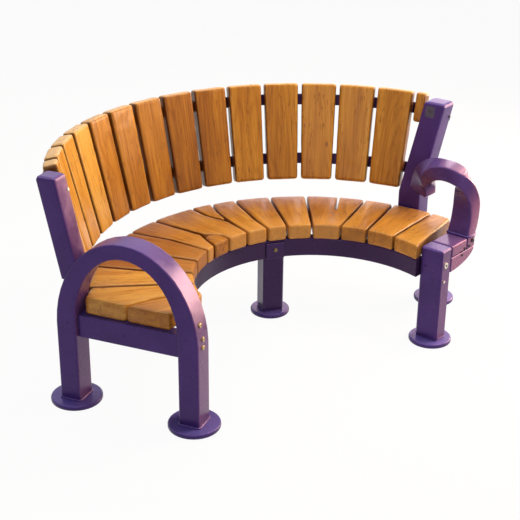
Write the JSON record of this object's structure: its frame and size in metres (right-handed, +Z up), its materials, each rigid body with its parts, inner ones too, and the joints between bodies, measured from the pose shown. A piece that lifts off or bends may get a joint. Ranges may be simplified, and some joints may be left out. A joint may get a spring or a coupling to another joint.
{
  "type": "curved garden bench",
  "caption": "Curved garden bench: radial timber seat planks, upright timber slats, purple painted steel frame, an arched left armrest, a looped right armrest and round floor plates",
  "frame": {"origin": "on the ground, under the middle of the bench's box", "axes": "+Z up; +Y from the sitter's side towards the middle of the back; +X along the bench's length, towards the end with the looped armrest"},
  "size_m": [1.8778, 1.1744, 0.8916],
  "materials": {
    "frame_paint": "glossy purple enamel",
    "rail_paint": "dark satin purple enamel",
    "seat_wood": "varnished honey timber",
    "back_wood": "varnished honey timber, grain upright",
    "bolt_metal": "dull brassy plating"
  },
  "bodies": {
    "root": {"seat_plank_01": "seat_wood", "seat_plank_02": "seat_wood", "seat_plank_03": "seat_wood", "seat_plank_04": "seat_wood", "seat_plank_05": "seat_wood", "seat_plank_06": "seat_wood", "seat_plank_07": "seat_wood", "seat_plank_08": "seat_wood", "seat_plank_09": "seat_wood", "seat_plank_10": "seat_wood", "seat_plank_11": "seat_wood", "seat_plank_12": "seat_wood", "seat_plank_13": "seat_wood", "seat_plank_14": "seat_wood", "seat_plank_15": "seat_wood", "seat_plank_16": "seat_wood", "back_slat_01": "back_wood", "back_slat_02": "back_wood", "back_slat_03": "back_wood", "back_slat_04": "back_wood", "back_slat_05": "back_wood", "back_slat_06": "back_wood", "back_slat_07": "back_wood", "back_slat_08": "back_wood", "back_slat_09": "back_wood", "back_slat_10": "back_wood", "back_slat_11": "back_wood", "back_slat_12": "back_wood", "back_slat_13": "back_wood", "back_slat_14": "back_wood", "back_slat_15": "back_wood", "front_seat_rail_left": "frame_paint", "front_seat_rail_right": "frame_paint", "rear_seat_rail": "frame_paint", "cross_bearer_left": "frame_paint", "cross_bearer_centre": "frame_paint", "cross_bearer_right": "frame_paint", "rail_joint_plate": "frame_paint", "rail_joint_bolt": "bolt_metal", "left_arch_frame": "frame_paint", "left_end_rail": "frame_paint", "left_back_post": "frame_paint", "right_front_leg": "frame_paint", "right_side_rail": "frame_paint", "right_corner_gusset": "frame_paint", "right_arm_socket": "frame_paint", "right_arm_loop": "frame_paint", "right_back_post": "frame_paint", "right_rear_leg": "frame_paint", "right_end_rail": "frame_paint", "centre_leg": "frame_paint", "upper_back_rail": "rail_paint", "lower_back_rail": "rail_paint", "upper_rail_block": "rail_paint", "lower_rail_block": "rail_paint", "foot_plate_left_front": "frame_paint", "foot_plate_left_rear": "frame_paint", "foot_plate_centre": "frame_paint", "foot_plate_right_front": "frame_paint", "foot_plate_right_rear": "frame_paint"}
  },
  "joints": []
}
